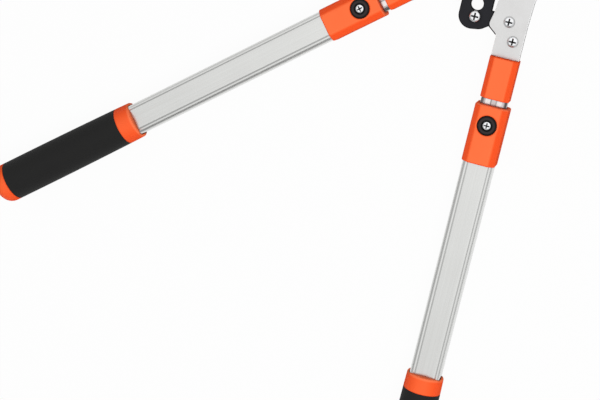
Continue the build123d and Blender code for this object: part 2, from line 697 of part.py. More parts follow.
def pawl_link(side):
    section = tangent_strip(PAWL_HINGE, PAWL_LINK_R, pawl_top(), PAWL_LINK_R)
    section -= disc(PAWL_HINGE, PAWL_PIN_D / 2)
    section -= disc(pawl_top(), PAWL_PIN_D / 4)
    inside = RATCHET_TOP_Z + FACE_GAP
    low = inside if side > 0 else -inside - PAWL_LINK_T
    return plate(section, low, low + PAWL_LINK_T)


def pawl_pin():
    reach = RATCHET_TOP_Z + FACE_GAP + PAWL_LINK_T
    return post(PAWL_HINGE, PAWL_PIN_D / 2, -reach, reach)


def pawl_roller():
    reach = RATCHET_TOP_Z + FACE_GAP
    roller = post(pawl_top(), ROLLER_D / 2, -reach, reach)
    return roller + post(pawl_top(), PAWL_PIN_D / 4, -reach - PAWL_LINK_T, reach + PAWL_LINK_T)


# ---------------------------------------------------------------- all nodes
def handle_nodes(side, place, tongues, tang_block):
    return {
        side + "_inner_tube": place(inner_tube()),
        side + "_upper_collar": place(upper_collar(tongues)),
        side + "_tang_block": place(tang_block),
        side + "_guide_bush": place(guide_bush()),
        side + "_lower_collar": place(lower_collar()),
        side + "_outer_tube": place(outer_tube()),
        side + "_grip_ring": place(grip_ring()),
        side + "_grip_sleeve": place(grip_sleeve()),
        side + "_end_cap": place(end_cap()),
        side + "_button_cap": place(button_cap()),
        side + "_button_screw": place(button_screw()),
        side + "_plunger_pin": place(plunger_pin()),
        side + "_button_spring": place(button_spring()),
    }


def head_nodes():
    plates_top = RIGHT_PLATE_Z + PLATE_T
    rivets = rivet_places()
    notch_screw = notch_screw_place()
    return {
        "left_plate_front": head_left(left_plate(1)),
        "left_plate_rear": head_left(left_plate(-1)),
        "anvil_holder": head_left(anvil_holder()),
        "anvil_insert": head_left(anvil_insert()),
        "anvil_rivet_heel": head_left(anvil_rivet(rivets[0])),
        "anvil_rivet_tip": head_left(anvil_rivet(rivets[1])),
        "pivot_bolt": head_left(pivot_bolt()),
        "pivot_washer": head_left(pivot_washer()),
        "pivot_nut": head_left(pivot_nut()),
        "pivot_spacer_front": head_left(pivot_spacer(1)),
        "pivot_spacer_rear": head_left(pivot_spacer(-1)),
        "right_plate_front": head_right(right_plate(1)),
        "right_plate_rear": head_right(right_plate(-1)),
        "ratchet_plate": head_right(ratchet_plate()),
        "lug_screw": head_right(screw_at(LUG_SCREW, HEAD_D, plates_top)),
        "lug_nut": head_right(nut_at(LUG_SCREW, plates_top)),
        "strap_screw": head_right(screw_at(STRAP_SCREW, HEAD_D, plates_top)),
        "strap_nut": head_right(nut_at(STRAP_SCREW, plates_top)),
        "ratchet_screw": head_right(screw_at(notch_screw, NOTCH_SCREW_D, RATCHET_TOP_Z)),
        "ratchet_nut": head_right(nut_at(notch_screw, RATCHET_TOP_Z)),
        "blade": head_right(blade()),
        "pawl_link_front": head_right(pawl_link(1)),
        "pawl_link_rear": head_right(pawl_link(-1)),
        "pawl_pin": head_right(pawl_pin()),
        "pawl_roller": head_right(pawl_roller()),
    }


nodes = {}
nodes.update(handle_nodes("left", on_left, left_tongues(), left_tang_block()))
nodes.update(handle_nodes("right", on_right, right_tongues(), right_tang_block()))
nodes.update(head_nodes())

os.makedirs("parts", exist_ok=True)
for name, piece in nodes.items():
    export_step(piece, "parts/" + name + ".step")
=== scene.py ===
import json
import math

import bmesh
import bpy
from mathutils import Matrix, Vector


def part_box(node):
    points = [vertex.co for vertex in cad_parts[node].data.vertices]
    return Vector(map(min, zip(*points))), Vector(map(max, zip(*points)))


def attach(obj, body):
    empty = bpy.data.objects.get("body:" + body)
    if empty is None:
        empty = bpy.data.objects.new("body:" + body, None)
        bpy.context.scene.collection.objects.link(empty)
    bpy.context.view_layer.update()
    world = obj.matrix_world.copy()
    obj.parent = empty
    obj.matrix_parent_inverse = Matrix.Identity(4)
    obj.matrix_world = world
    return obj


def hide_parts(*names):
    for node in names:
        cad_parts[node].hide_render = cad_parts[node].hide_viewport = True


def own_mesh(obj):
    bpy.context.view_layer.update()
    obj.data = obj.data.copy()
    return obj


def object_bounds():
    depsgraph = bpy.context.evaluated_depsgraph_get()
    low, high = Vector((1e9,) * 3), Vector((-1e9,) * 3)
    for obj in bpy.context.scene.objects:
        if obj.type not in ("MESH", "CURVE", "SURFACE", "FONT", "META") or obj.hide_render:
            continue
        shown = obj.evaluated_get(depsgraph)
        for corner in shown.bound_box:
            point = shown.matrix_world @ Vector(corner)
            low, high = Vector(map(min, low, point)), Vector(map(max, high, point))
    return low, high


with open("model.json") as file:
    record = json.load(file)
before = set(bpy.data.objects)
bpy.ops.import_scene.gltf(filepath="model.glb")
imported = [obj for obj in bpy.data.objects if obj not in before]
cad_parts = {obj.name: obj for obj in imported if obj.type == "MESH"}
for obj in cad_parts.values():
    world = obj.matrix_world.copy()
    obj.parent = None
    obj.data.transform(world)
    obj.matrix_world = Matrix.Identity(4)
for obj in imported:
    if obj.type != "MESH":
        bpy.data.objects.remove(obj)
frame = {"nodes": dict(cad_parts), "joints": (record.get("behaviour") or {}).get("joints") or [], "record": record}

CAD_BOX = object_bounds()
NODES = frame["nodes"]
JOINTS = {row["name"]: row for row in frame["joints"]}
SIDES = ("left", "right")
MM = 0.001

# ---- Lock button springs ----
SPRING_WIRE = 0.7 * MM
SPRING_TURNS = 3
WIRE_SIDES = 12
STEPS_PER_TURN = 36

# ---- Mould parting lines on the collars ----
RIDGE = 0.28 * MM
RIDGE_END = 2.5 * MM         # ridge stops short of the collar's rounded rims

# ---- Sizes in the finishes ----
LAND_START = 3.5 * MM        # bright rubbed lands of the inner tube, out from its middle line; painted shade lies beside them
LAND_END = 8.1 * MM
LAND_FADE = 0.4 * MM
BUTTON_RIM_SHADE = 2.0 * MM        # painted shade on the rim of the lock button, fading inwards
BUTTON_LIP_SHADE = 5.2 * MM        # radius of the painted shade lip round the button's screw
RING_HIGHLIGHT_WIDTH = 3.0 * MM          # width of the pale painted highlight band at a grip ring's lip
COLLAR_HIGHLIGHT_WIDTH = 1.6 * MM        # and at a lower collar's mouth
CREASE = 2.8 * MM            # reach of the soft turn over a moulded crease
SCORES = (2600, 60, 60)      # grinding marks to the metre in X, Y and Z, so they run along Y
RUB_SPOTS = 260.0            # spots to the metre that break up a rubbed edge
RUB_TURN = (0.98, 0.80)      # cosine of the turn over an edge, where rubbing starts and is full
RUB_FULL = 0.75              # level of the spots at which the edge is rubbed through
NOISE_RANGE = (0.3, 0.7)     # most of a noise lies in here, and is stretched from it

# ---- Leans over which a finish or its painted shade and highlight changes, in radians from facing straight up or down ----
SIDE_SHADE_START = 0.15            # moulded plastic gets painted shade, deeper in colour, from here
COLLAR_FULL_SHADE = 0.7            # and is deepest here on a collar
RING_FULL_SHADE = 0.9              # and here on a grip ring or end cap
MATT_SIDES = (0.9, 1.3)      # moulded plastic turns matt
SHOULDER_SHADE_LEANS = (0.2, 0.85)      # inner tube darkens with painted shade
SIDE_HIGHLIGHT_LEANS = (1.08, 1.42)    # and gets paler again with a painted highlight
EDGE_HIGHLIGHT_LEANS = (0.2, 0.5)         # bare plate gets a pale painted highlight and turns matt
COAT_EDGE_SHADE = (0.05, 0.3)     # coated plate turns black with painted shade, and dull
BEVEL_START = (0.10, 0.14)   # blade is ground bright
BEVEL_END = (0.50, 0.40)     # and is so up to here, given from the coated end
BUTTON_EDGE_SHADE = (0.05, 0.4)   # black moulding darkens with painted shade

# ---- Camera, in metres ----
CAMERA_PLACE = Vector((0.0420, 0.1331, 1.6330))
CAMERA_AIM = Vector((0.1231, -0.3370, 0.0202))
CAMERA_UP = Vector((-0.9005, 0.4032, -0.1628))
CAMERA_LENS = 101.54
SENSOR = 36.0
NEAREST = 0.01
FARTHEST = 50.0

# ---- Studio, in metres ----
FLOOR_SIZE = 8.0
FLOOR_COLOUR = (208, 208, 208)
FLOOR_GLOW = 0.96            # share of the floor that shows as plain white to the eye
WHITE = (1, 1, 1, 1)
SKY_LOW = 0.12               # plain light from near the horizon
SKY_HIGH = 0.80              # and from overhead
SKY_TOP = 0.9                # reached at this height, where straight up is 1
SHINE_LOW = 0.60             # what polished surfaces see near the horizon
SHINE_RISE = 0.71            # and how much more overhead
SHINE_SIDE = 1.00            # brighter halfway up one side of the studio
SHINE_TURN = math.radians(115)
SHINE_MOST = 1.22
KEY_ASIDE = (0.62, 0.30)     # softbox's place, from over the middle of the tool
KEY_HEIGHT = 2.2
KEY_SIZE = 1.2
KEY_WATTS = 30.0

# Two dark things that polished surfaces see, a small stand high up and a broad screen low down.
# Each has a turn and a tilt for its place, and gets darker from its edge in to its core.
STAND = {"turn": math.radians(336), "tilt": math.radians(42),
         "edge": math.radians(12), "core": math.radians(7), "shade": 0.03}
SCREEN = {"turn": math.radians(52), "tilt": math.radians(5),
          "edge": math.radians(34), "core": math.radians(12), "shade": 0.62}

# ---- Colours, as seen on a screen ----
ORANGE = (249, 113, 64)
RING_ORANGE = (245, 98, 50)
# rubbed edges, and the painted highlight on lips
ORANGE_WORN_AND_HIGHLIT = (255, 138, 92)
# painted shade on leaning faces, and part of the mottle
ORANGE_SIDE_SHADE_AND_MOTTLE = (247, 84, 32)
# painted shade in hollows
ORANGE_HOLLOW_SHADE = (160, 36, 12)
RUBBER = (30, 30, 30)
RUBBER_PALE = (39, 39, 38)
TUBE = (225, 226, 224)
TUBE_SHADE = (214, 214, 212)
# painted shade in hollows
TUBE_HOLLOW_SHADE = (120, 120, 120)
INNER_TUBE = (239, 236, 235)
INNER_SHADE = (229, 223, 221)
# painted shade beside the lands, and painted highlight on the sides
INNER_SHADE_AND_HIGHLIGHT = (203, 196, 195)
# painted shade on shoulders and in hollows
INNER_PAINTED_SHADE = (92, 86, 84)
STEEL = (222, 222, 222)
STEEL_SHADE = (212, 211, 210)
# painted highlight on edges
STEEL_EDGE_HIGHLIGHT = (250, 250, 250)
COATED = (29, 29, 33)
COATED_PALE = (41, 41, 46)
# painted shade in recesses and on dark edges
PAINTED_SHADE_BLACK = (7, 7, 8)
CHROME = (240, 242, 245)
ZINC = (190, 192, 196)
ZINC_SHADE = (150, 152, 158)
BUTTON = (44, 38, 38)
BUTTON_PALE = (50, 44, 44)
NYLON = (34, 34, 36)

# ---- Kinds of group socket, and the sockets of a Mix node that mixes colours ----
NUMBER = "NodeSocketFloat"
VECTOR = "NodeSocketVector"
MIX_SHARE = 0
MIX_FIRST = 6
MIX_SECOND = 7
MIX_RESULT = 2


# ---------------------------------------------------------------- the handles' own axes
def corners_of(name, matrix):
    """Lowest and highest corners of a node, seen through a matrix."""
    places = [matrix @ vertex.co for vertex in NODES[name].data.vertices]
    low = Vector([min(place[axis] for place in places) for axis in range(3)])
    high = Vector([max(place[axis] for place in places) for axis in range(3)])
    return low, high


def handle_turn(side):
    """Turn about Z that lays a handle along Y."""
    axis = JOINTS[side + "_telescope"]["axis"]
    return -math.atan2(axis[0], -axis[1])


def handle_frame(side):
    """Matrix from a handle's axes (X across from its middle, Y along, Z up) to the tool's."""
    spin = Matrix.Rotation(handle_turn(side), 4, "Z")
    low, high = corners_of(side + "_outer_tube", spin)
    middle = (low + high) / 2
    return spin.inverted() @ Matrix.Translation((middle.x, 0, middle.z))


TO_TOOL = {side: handle_frame(side) for side in SIDES}
TO_HANDLE = {side: TO_TOOL[side].inverted() for side in SIDES}


# ---------------------------------------------------------------- shader helpers
def linear(colour):
    """Screen colour, 0 to 255, as linear light."""
    shares = [part / 255 for part in colour]
    light = [s / 12.92 if s <= 0.04045 else ((s + 0.055) / 1.055) ** 2.4 for s in shares]
    return (*light, 1.0)


def add_node(tree, kind, inputs=None, **settings):
    """Add a node, with its settings and its input values or links."""
    node = tree.nodes.new(kind)
    for name, value in settings.items():
        setattr(node, name, value)
    for socket, value in (inputs or {}).items():
        if isinstance(value, bpy.types.NodeSocket):
            tree.links.new(value, node.inputs[socket])
        else:
            node.inputs[socket].default_value = value
    return node


def maths(tree, operation, *values):
    return add_node(tree, "ShaderNodeMath", dict(enumerate(values)), operation=operation).outputs[0]


def part_of(tree, value, share):
    return maths(tree, "MULTIPLY", value, share)


def larger(tree, first, second):
    return maths(tree, "MAXIMUM", first, second)


def span(tree, value, low, high, out_low=0.0, out_high=1.0):
    """Stretch a value from one range to another, held at its ends."""
    inputs = {"Value": value, "From Min": low, "From Max": high, "To Min": out_low, "To Max": out_high}
    return add_node(tree, "ShaderNodeMapRange", inputs).outputs["Result"]


def between(tree, mask, clear, full):
    """Value that goes from one number to another as a mask fills."""
    return span(tree, mask, 0, 1, clear, full)


def vector_maths(tree, operation, first, second):
    """Outputs of a node on two vectors: the result is in Vector, or in Value where it is a number."""
    return add_node(tree, "ShaderNodeVectorMath", {0: first, 1: second}, operation=operation).outputs


def axis_of(tree, vector, axis):
    return add_node(tree, "ShaderNodeSeparateXYZ", {"Vector": vector}).outputs[axis]


def mix_colour(tree, share, first, second):
    """Blend two colours, each of them a screen colour or a socket."""
    inputs = {MIX_SHARE: share}
    for place, colour in ((MIX_FIRST, first), (MIX_SECOND, second)):
        inputs[place] = linear(colour) if isinstance(colour, tuple) else colour
    return add_node(tree, "ShaderNodeMix", inputs, data_type="RGBA").outputs[MIX_RESULT]


def object_place(tree):
    return add_node(tree, "ShaderNodeTexCoord").outputs["Object"]


def handle_place(tree, side):
    """Object coordinates, turned and moved to a handle's axes."""
    mapping = add_node(tree, "ShaderNodeMapping", {
        "Vector": object_place(tree), "Rotation": (0, 0, handle_turn(side)),
        "Location": tuple(TO_HANDLE[side].translation)})
    return mapping.outputs["Vector"]


def new_group(name, inputs, outputs):
    """Shader node group. Its inputs are given as (name, kind, value), and its outputs as (name, kind).

    Returns the group, the inputs as its nodes read them, and the outputs as they feed them."""
    group = bpy.data.node_groups.new(name, "ShaderNodeTree")
    for label, kind, value in inputs:
        socket = group.interface.new_socket(label, in_out="INPUT", socket_type=kind)
        if value is not None:
            socket.default_value = value
    for label, kind in outputs:
        group.interface.new_socket(label, in_out="OUTPUT", socket_type=kind)
    start = group.nodes.new("NodeGroupInput")
    end = group.nodes.new("NodeGroupOutput")
    return group, start.outputs, end.inputs


def use_group(tree, group, **inputs):
    return add_node(tree, "ShaderNodeGroup", inputs, node_tree=group).outputs


# ---------------------------------------------------------------- shared effects
def make_mottle():
    """Soft cloudy variation with a finer layer over it."""
    group, start, end = new_group(
        "mottle", [("Vector", VECTOR, None), ("Size", NUMBER, 30 * MM), ("Contrast", NUMBER, 0.5)],
        [("Mask", NUMBER)])
    scale = maths(group, "DIVIDE", 1.0, start["Size"])
    cloud = add_node(group, "ShaderNodeTexNoise",
                     {"Vector": start["Vector"], "Scale": scale, "Detail": 4.0, "Roughness": 0.6})
    half = part_of(group, start["Contrast"], 0.5)
    low = maths(group, "SUBTRACT", 0.5, half)
    high = maths(group, "ADD", 0.5, half)
    group.links.new(span(group, cloud.outputs["Fac"], low, high), end["Mask"])
    return group


def make_grain():
    """Height of a fine moulded or blasted grain."""
    group, start, end = new_group(
        "fine_grain", [("Vector", VECTOR, None), ("Size", NUMBER, 0.4 * MM)], [("Height", NUMBER)])
    scale = maths(group, "DIVIDE", 1.0, start["Size"])
    pits = add_node(group, "ShaderNodeTexVoronoi", {"Vector": start["Vector"], "Scale": scale},
                    feature="SMOOTH_F1")
    cloud = add_node(group, "ShaderNodeTexNoise",
                     {"Vector": start["Vector"], "Scale": scale, "Detail": 2.0})
    height = maths(group, "ADD", part_of(group, pits.outputs["Distance"], 0.5),
                   part_of(group, cloud.outputs["Fac"], 0.5))
    group.links.new(height, end["Height"])
    return group


def make_drawn_lines():
    """Height of long fine lines along Y, as a die leaves on an extrusion."""
    group, start, end = new_group(
        "drawn_lines",
        [("Vector", VECTOR, None), ("Width", NUMBER, 0.6 * MM), ("Length", NUMBER, 120 * MM)],
        [("Height", NUMBER)])
    across = maths(group, "DIVIDE", 1.0, start["Width"])
    along = maths(group, "DIVIDE", 1.0, start["Length"])
    scale = add_node(group, "ShaderNodeCombineXYZ", {"X": across, "Y": along, "Z": across})
    place = vector_maths(group, "MULTIPLY", start["Vector"], scale.outputs["Vector"])["Vector"]
    lines = add_node(group, "ShaderNodeTexNoise",
                     {"Vector": place, "Scale": 1.0, "Detail": 3.0, "Roughness": 0.7})
    group.links.new(lines.outputs["Fac"], end["Height"])
    return group


def make_rubbed_edges():
    """Mask of the outer edges, broken up as by rubbing."""
    group, start, end = new_group(
        "rubbed_edges",
        [("Vector", VECTOR, None), ("Width", NUMBER, 0.5 * MM), ("Breaks", NUMBER, 0.4)],
        [("Mask", NUMBER)])
    soft = add_node(group, "ShaderNodeBevel", {"Radius": start["Width"]}, samples=6).outputs["Normal"]
    hard = add_node(group, "ShaderNodeNewGeometry").outputs["True Normal"]
    edge = span(group, vector_maths(group, "DOT_PRODUCT", soft, hard)["Value"], *RUB_TURN)
    spots = add_node(group, "ShaderNodeTexNoise",
                     {"Vector": start["Vector"], "Scale": RUB_SPOTS, "Detail": 5.0, "Roughness": 0.65})
    broken = span(group, spots.outputs["Fac"], start["Breaks"], RUB_FULL)
    group.links.new(maths(group, "MULTIPLY", edge, broken), end["Mask"])
    return group


def make_hollow_shade():
    """Mask of painted shade in creases, seams and deep corners, where little light falls."""
    group, start, end = new_group(
        "hollow_shade", [("Reach", NUMBER, 2 * MM), ("Start", NUMBER, 0.85), ("Full", NUMBER, 0.25)],
        [("Mask", NUMBER)])
    sky = add_node(group, "ShaderNodeAmbientOcclusion", {"Distance": start["Reach"]}, samples=8)
    group.links.new(span(group, sky.outputs["AO"], start["Start"], start["Full"]), end["Mask"])
    return group


def lean_of(tree, normal):
    """Angle between a normal and straight up or down."""
    return maths(tree, "ARCCOSINE", maths(tree, "ABSOLUTE", axis_of(tree, normal, "Z")))


def make_leaning():
    """How far a surface leans away from facing straight up or down."""
    group, _, end = new_group("leaning", [], [("Lean", NUMBER)])
    facing = add_node(group, "ShaderNodeNewGeometry").outputs["True Normal"]
    group.links.new(lean_of(group, facing), end["Lean"])
    return group


def make_soft_crease():
    """Normal that turns softly over a crease, and how far it leans from straight up or down."""
    group, start, end = new_group(
        "soft_crease", [("Reach", NUMBER, 2 * MM)], [("Lean", NUMBER), ("Normal", VECTOR)])
    soft = add_node(group, "ShaderNodeBevel", {"Radius": start["Reach"]}, samples=8).outputs["Normal"]
    group.links.new(lean_of(group, soft), end["Lean"])
    group.links.new(soft, end["Normal"])
    return group


MOTTLE = make_mottle()
HOLLOW_SHADE_GROUP = make_hollow_shade()
LEANING = make_leaning()
SOFT_CREASE = make_soft_crease()
GRAIN = make_grain()
DRAWN_LINES = make_drawn_lines()
RUBBED_EDGES = make_rubbed_edges()


# ---------------------------------------------------------------- materials
def new_material(name, **constants):
    """Principled material. A constant's name has _ for each space. Returns its tree and shader too."""
    material = bpy.data.materials.new(name)
    material.use_nodes = True
    tree = material.node_tree
    tree.nodes.clear()
    values = {label.replace("_", " "): value for label, value in constants.items()}
    shader = add_node(tree, "ShaderNodeBsdfPrincipled", values)
    output = add_node(tree, "ShaderNodeOutputMaterial")
    tree.links.new(shader.outputs["BSDF"], output.inputs["Surface"])
    return material, tree, shader


def paint(tree, shader, colour, rough):
    tree.links.new(colour, shader.inputs["Base Color"])
    tree.links.new(rough, shader.inputs["Roughness"])


def bump(tree, shader, height, depth, strength, normal=None):
    inputs = {"Height": height, "Distance": depth, "Strength": strength}
    if normal:
        inputs["Normal"] = normal
    node = add_node(tree, "ShaderNodeBump", inputs)
    tree.links.new(node.outputs["Normal"], shader.inputs["Normal"])


def orange_plastic(name, flat_colour, full_shade_lean, lip=None):
    """Moulded plastic with rubbed pale edges, painted shade deeper the more it leans, up to full_shade_lean, and
    in hollows.

    A lip is (side, node, width): that node's end towards the jaws gets a pale painted highlight all round."""
    material, tree, shader = new_material(name, Specular_IOR_Level=0.12)
    place = object_place(tree)
    cloud = use_group(tree, MOTTLE, Vector=place, Size=22 * MM, Contrast=0.9)["Mask"]
    rub = use_group(tree, RUBBED_EDGES, Vector=place, Width=0.6 * MM, Breaks=0.45)["Mask"]
    if lip:
        side, node, width = lip
        _, high = corners_of(node, TO_HANDLE[side])
        along = axis_of(tree, handle_place(tree, side), "Y")
        # the lip adds a pale painted highlight to the rubbed edges
        rub = larger(tree, rub, span(tree, along, high.y - width, high.y - width / 3))
    crease = use_group(tree, SOFT_CREASE, Reach=CREASE)
    # painted shade: the more a face leans, the deeper its orange
    side_shade_and_mottle = larger(tree, span(tree, crease["Lean"], SIDE_SHADE_START, full_shade_lean), part_of(tree, cloud, 0.2))
    body = mix_colour(tree, side_shade_and_mottle, flat_colour, ORANGE_SIDE_SHADE_AND_MOTTLE)
    worn_and_highlit = mix_colour(tree, part_of(tree, rub, 0.6), body, ORANGE_WORN_AND_HIGHLIT)
    hollow_shade = use_group(tree, HOLLOW_SHADE_GROUP, Reach=1.4 * MM, Start=0.6)["Mask"]
    colour = mix_colour(tree, part_of(tree, hollow_shade, 0.6), worn_and_highlit, ORANGE_HOLLOW_SHADE)
    matt = span(tree, crease["Lean"], *MATT_SIDES, 0, 0.5)
    paint(tree, shader, colour, maths(tree, "ADD", between(tree, cloud, 0.40, 0.50), matt))
    grain = use_group(tree, GRAIN, Vector=place, Size=0.5 * MM)["Height"]
    bump(tree, shader, grain, 0.04 * MM, 0.35, crease["Normal"])
    return material


def grip_rubber():
    """Dull rubber with a faint cloudy tone and a coarse grain."""
    material, tree, shader = new_material(
        "grip_rubber", Specular_IOR_Level=0.14, Sheen_Weight=0.01, Sheen_Roughness=0.5)
    place = object_place(tree)
    cloud = use_group(tree, MOTTLE, Vector=place, Size=30 * MM, Contrast=1.0)["Mask"]
    colour = mix_colour(tree, part_of(tree, cloud, 0.6), RUBBER, RUBBER_PALE)
    paint(tree, shader, colour, between(tree, cloud, 0.66, 0.78))
    grain = use_group(tree, GRAIN, Vector=place, Size=0.9 * MM)["Height"]
    bump(tree, shader, grain, 0.1 * MM, 0.5)
    return material


def satin_tube(name, side):
    """Satin extrusion with die lines along its handle, and painted shade in its hollows."""
    material, tree, shader = new_material(name, Metallic=1.0)
    place = handle_place(tree, side)
    lines = use_group(tree, DRAWN_LINES, Vector=place, Width=0.7 * MM, Length=150 * MM)["Height"]
    cloud = use_group(tree, MOTTLE, Vector=place, Size=50 * MM, Contrast=0.9)["Mask"]
    lined = part_of(tree, span(tree, lines, *NOISE_RANGE), 0.5)
    tone = maths(tree, "ADD", lined, part_of(tree, cloud, 0.4))
    body = mix_colour(tree, tone, TUBE, TUBE_SHADE)
    hollow_shade = use_group(tree, HOLLOW_SHADE_GROUP, Reach=2 * MM, Start=0.85)["Mask"]
    colour = mix_colour(tree, part_of(tree, hollow_shade, 0.6), body, TUBE_HOLLOW_SHADE)
    paint(tree, shader, colour, between(tree, tone, 0.26, 0.36))
    bump(tree, shader, lines, 0.02 * MM, 0.3)
    return material


def sliding_tube(name, side):
    """Grooved tube with bright rubbed lands, painted shade beside them, on its shoulders and in its hollows, and a
    painted highlight on its sides.
    """
    material, tree, shader = new_material(name, Metallic=1.0)
    place = handle_place(tree, side)
    lines = use_group(tree, DRAWN_LINES, Vector=place, Width=0.6 * MM, Length=120 * MM)["Height"]
    body = mix_colour(tree, span(tree, lines, *NOISE_RANGE), INNER_TUBE, INNER_SHADE)
    across = maths(tree, "ABSOLUTE", axis_of(tree, place, "X"))
    groove = span(tree, across, LAND_START, LAND_START - LAND_FADE)
    outside = span(tree, across, LAND_END - LAND_FADE, LAND_END)
    shaded_beside_lands = mix_colour(tree, larger(tree, groove, outside), body, INNER_SHADE_AND_HIGHLIGHT)
    lean = use_group(tree, LEANING)["Lean"]
    shoulder_shade = mix_colour(tree, span(tree, lean, *SHOULDER_SHADE_LEANS), shaded_beside_lands, INNER_PAINTED_SHADE)
    side_highlit = mix_colour(tree, span(tree, lean, *SIDE_HIGHLIGHT_LEANS, 0, 0.75), shoulder_shade, INNER_SHADE_AND_HIGHLIGHT)
    hollow_shade = use_group(tree, HOLLOW_SHADE_GROUP, Reach=1.5 * MM, Start=0.94, Full=0.6)["Mask"]
    colour = mix_colour(tree, part_of(tree, hollow_shade, 0.8), side_highlit, INNER_PAINTED_SHADE)
    paint(tree, shader, colour, span(tree, lines, *NOISE_RANGE, 0.2, 0.3))
    bump(tree, shader, lines, 0.02 * MM, 0.3)
    return material


def plated_metal(name, pale, shade, rough, cloud_size, grain_size, grain_depth, rubbed, shade_reach):
    """Metal with cloudy tone, fine grain and rubbed edges, and painted shade blackening its recesses."""
    material, tree, shader = new_material(name, Metallic=1.0)
    place = object_place(tree)
    cloud = use_group(tree, MOTTLE, Vector=place, Size=cloud_size, Contrast=0.8)["Mask"]
    rub = use_group(tree, RUBBED_EDGES, Vector=place, Width=0.4 * MM, Breaks=0.3)["Mask"]
    body = mix_colour(tree, cloud, pale, shade)
    bright = mix_colour(tree, part_of(tree, rub, rubbed), body, CHROME)
    hollow_shade = use_group(tree, HOLLOW_SHADE_GROUP, Reach=shade_reach, Start=0.94, Full=0.68)["Mask"]
    colour = mix_colour(tree, hollow_shade, bright, PAINTED_SHADE_BLACK)
    paint(tree, shader, colour, between(tree, cloud, rough - 0.03, rough + 0.05))
    grain = use_group(tree, GRAIN, Vector=place, Size=grain_size)["Height"]
    bump(tree, shader, grain, grain_depth, 0.5)
    return material


def satin_steel():
    """Satin plate with a faint cloudy tone, a pale painted highlight on its matt edges, and painted shade in its
    recesses.
    """
    material, tree, shader = new_material("satin_steel")
    place = object_place(tree)
    cloud = use_group(tree, MOTTLE, Vector=place, Size=14 * MM, Contrast=0.7)["Mask"]
    fine = use_group(tree, MOTTLE, Vector=place, Size=1.2 * MM, Contrast=1.0)["Mask"]
    tone = maths(tree, "ADD", part_of(tree, cloud, 0.6), part_of(tree, fine, 0.4))
    face = mix_colour(tree, tone, STEEL, STEEL_SHADE)
    edge = span(tree, use_group(tree, LEANING)["Lean"], *EDGE_HIGHLIGHT_LEANS)
    edge_highlit = mix_colour(tree, edge, face, STEEL_EDGE_HIGHLIGHT)
    hollow_shade = use_group(tree, HOLLOW_SHADE_GROUP, Reach=1.2 * MM, Start=0.8)["Mask"]
    colour = mix_colour(tree, part_of(tree, hollow_shade, 0.7), edge_highlit, PAINTED_SHADE_BLACK)
    paint(tree, shader, colour, between(tree, tone, 0.31, 0.40))
    tree.links.new(between(tree, edge, 1.0, 0.1), shader.inputs["Metallic"])
    bump(tree, shader, fine, 0.01 * MM, 0.3)
    return material


def coated_steel():
    """Dark low-friction coating, duller on its edges, with painted shade making its edges and recesses blacker."""
    material, tree, shader = new_material("coated_steel", Specular_IOR_Level=0.15)
    place = object_place(tree)
    cloud = use_group(tree, MOTTLE, Vector=place, Size=12 * MM, Contrast=0.8)["Mask"]
    face = mix_colour(tree, part_of(tree, cloud, 0.5), COATED, COATED_PALE)
    hollow_shade = use_group(tree, HOLLOW_SHADE_GROUP, Reach=3 * MM, Start=0.95)["Mask"]
    shaded = mix_colour(tree, hollow_shade, face, PAINTED_SHADE_BLACK)
    edge = span(tree, use_group(tree, LEANING)["Lean"], *COAT_EDGE_SHADE)
    rough = maths(tree, "ADD", between(tree, cloud, 0.44, 0.56), part_of(tree, edge, 0.25))
    paint(tree, shader, mix_colour(tree, edge, shaded, PAINTED_SHADE_BLACK), rough)
    grain = use_group(tree, GRAIN, Vector=place, Size=0.5 * MM)["Height"]
    bump(tree, shader, grain, 0.03 * MM, 0.4)
    return material


def blade_steel():
    """Coated blade with bright ground bevels, over which the marks of the grinding run aslant."""
    material, tree, shader = new_material("blade_steel", Specular_IOR_Level=0.3)
    place = object_place(tree)
    lean = use_group(tree, LEANING)["Lean"]
    ground = maths(tree, "MULTIPLY", span(tree, lean, *BEVEL_START), span(tree, lean, *BEVEL_END))
    drawn_out = vector_maths(tree, "MULTIPLY", place, SCORES)["Vector"]
    score = add_node(tree, "ShaderNodeTexNoise",
                     {"Vector": drawn_out, "Scale": 1.0, "Detail": 3.0}).outputs["Fac"]
    bright = mix_colour(tree, score, STEEL, ZINC)
    cloud = use_group(tree, MOTTLE, Vector=place, Size=12 * MM, Contrast=0.8)["Mask"]
    coat = mix_colour(tree, part_of(tree, cloud, 0.5), COATED, COATED_PALE)
    colour = mix_colour(tree, ground, coat, bright)
    paint(tree, shader, colour, span(tree, score, *NOISE_RANGE, 0.28, 0.42))
    tree.links.new(ground, shader.inputs["Metallic"])
    bump(tree, shader, score, 0.01 * MM, 0.3)
    return material


def shaded_rings_of(tree, place, disc):
    """Mask of painted shade on a round node's outer rim and on a thin lip round its middle."""
    low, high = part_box(disc)
    middle = (low + high) / 2
    radius = (high.x - low.x) / 2
    flat = vector_maths(tree, "MULTIPLY", place, (1, 1, 0))["Vector"]
    reach = vector_maths(tree, "DISTANCE", flat, (middle.x, middle.y, 0))["Value"]
    rim = span(tree, reach, radius - BUTTON_RIM_SHADE, radius - BUTTON_RIM_SHADE / 2)
    lip = span(tree, reach, BUTTON_LIP_SHADE + BUTTON_RIM_SHADE / 2, BUTTON_LIP_SHADE)
    return larger(tree, rim, lip)


